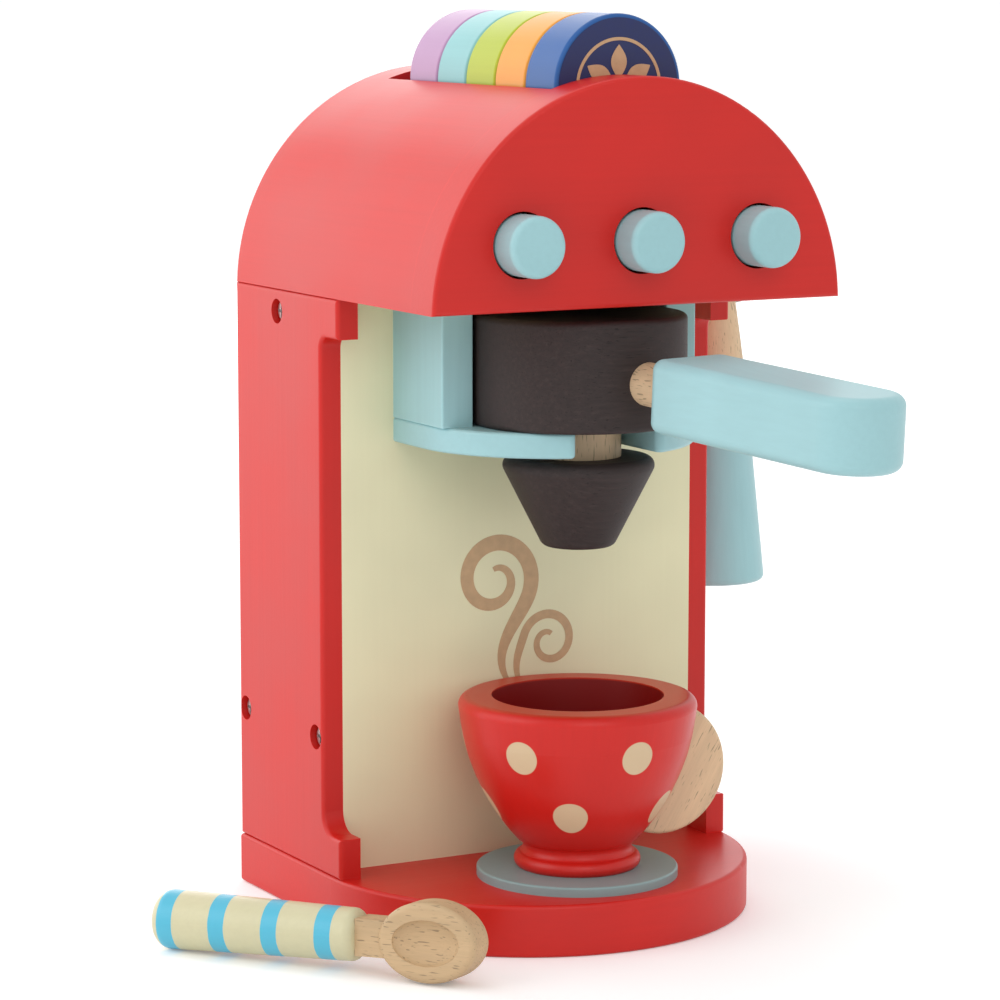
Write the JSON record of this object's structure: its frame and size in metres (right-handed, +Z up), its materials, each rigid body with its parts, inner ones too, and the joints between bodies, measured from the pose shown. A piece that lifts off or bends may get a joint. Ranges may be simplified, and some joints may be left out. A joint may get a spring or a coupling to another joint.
{
  "type": "toy coffee maker",
  "caption": "Wooden toy coffee maker with an arched hood, push buttons, pull-out filter holder, steam wand, cup, capsules and a spoon.",
  "frame": {"origin": "underside of the base, midway between its back and front edges, on the middle plane", "axes": "+Z up, +X to the right seen from the front, the front faces -Y"},
  "size_m": [0.2221, 0.219, 0.2628],
  "materials": {
    "red_paint": "satin paint",
    "tray_paint": "satin paint",
    "aqua_paint": "satin paint",
    "cream_paint": "satin paint",
    "brown_stain": "satin stain",
    "beech": "bare sanded",
    "pine_board": "bare sanded",
    "lilac_paint": "satin paint",
    "mint_paint": "satin paint",
    "lime_paint": "satin paint",
    "orange_paint": "satin paint",
    "blue_paint": "satin paint",
    "ivory_paint": "gloss paint",
    "steel": "zinc plated"
  },
  "bodies": {
    "machine": {"base_plate": "red_paint", "coaster": "aqua_paint", "side_board_left": "red_paint", "side_board_right": "red_paint", "front_board": "cream_paint", "back_board": "red_paint", "cross_board": "pine_board", "hood_front": "red_paint", "hood_arch": "red_paint", "hood_back": "red_paint", "hood_floor": "red_paint", "pod_tray": "tray_paint", "button_rail": "pine_board", "guide_block_left": "aqua_paint", "guide_block_right": "aqua_paint", "fork_plate": "aqua_paint", "wand_boss": "beech", "wand_pin": "steel", "side_screws": "steel", "base_screws": "steel", "hood_screws": "steel", "spring_left": "steel", "spring_centre": "steel", "spring_right": "steel"},
    "button_left": {"button_left": "aqua_paint"},
    "button_centre": {"button_centre": "aqua_paint"},
    "button_right": {"button_right": "aqua_paint"},
    "filter_stem": {"stem_dowel": "beech", "spout_cone": "brown_stain"},
    "filter_head": {"filter_drum": "brown_stain", "handle_peg": "beech", "filter_handle": "aqua_paint"},
    "wand": {"wand_neck": "beech", "wand_bell": "aqua_paint"},
    "cup": {"cup_bowl": "red_paint", "cup_grip": "beech"},
    "spoon": {"spoon_handle": "ivory_paint", "spoon_bowl": "beech"},
    "pod_lilac": {"pod_lilac": "lilac_paint"},
    "pod_aqua": {"pod_aqua": "mint_paint"},
    "pod_lime": {"pod_lime": "lime_paint"},
    "pod_orange": {"pod_orange": "orange_paint"},
    "pod_blue": {"pod_blue": "blue_paint"}
  },
  "joints": [
    {"name": "press_left", "type": "slide", "parent": "machine", "child": "button_left", "axis": [0, 1, 0], "range_m": [0, 0.004], "stiffness_N_per_m": 400, "springref_m": -0.002, "deforming": ["spring_left"]},
    {"name": "press_centre", "type": "slide", "parent": "machine", "child": "button_centre", "axis": [0, 1, 0], "range_m": [0, 0.004], "stiffness_N_per_m": 400, "springref_m": -0.002, "deforming": ["spring_centre"]},
    {"name": "press_right", "type": "slide", "parent": "machine", "child": "button_right", "axis": [0, 1, 0], "range_m": [0, 0.004], "stiffness_N_per_m": 400, "springref_m": -0.002, "deforming": ["spring_right"]},
    {"name": "filter_pull", "type": "slide", "parent": "machine", "child": "filter_stem", "axis": [0, -1, 0], "range_m": [0, 0.12]},
    {"name": "filter_twist", "type": "hinge", "parent": "filter_stem", "child": "filter_head", "pos_m": [0, -0.0283, 0.155], "axis": [0, 0, 1], "range_deg": [-69, 51]},
    {"name": "wand_swing", "type": "hinge", "parent": "machine", "child": "wand", "pos_m": [0.084, 0.0351, 0.1762], "axis": [1, 0, 0], "range_deg": [-60, 30]},
    {"name": "cup_lift", "type": "slide", "parent": "machine", "child": "cup", "axis": [0, -0.9397, 0.342], "range_m": [0, 0.11]},
    {"name": "lift_lilac", "type": "slide", "parent": "machine", "child": "pod_lilac", "axis": [0, 0, 1], "range_m": [0, 0.05]},
    {"name": "lift_aqua", "type": "slide", "parent": "machine", "child": "pod_aqua", "axis": [0, 0, 1], "range_m": [0, 0.05]},
    {"name": "lift_lime", "type": "slide", "parent": "machine", "child": "pod_lime", "axis": [0, 0, 1], "range_m": [0, 0.05]},
    {"name": "lift_orange", "type": "slide", "parent": "machine", "child": "pod_orange", "axis": [0, 0, 1], "range_m": [0, 0.05]},
    {"name": "lift_blue", "type": "slide", "parent": "machine", "child": "pod_blue", "axis": [0, 0, 1], "range_m": [0, 0.05]},
    {"name": "spoon_lift", "type": "slide", "parent": "machine", "child": "spoon", "axis": [0, 0, 1], "range_m": [0, 0.1]}
  ]
}
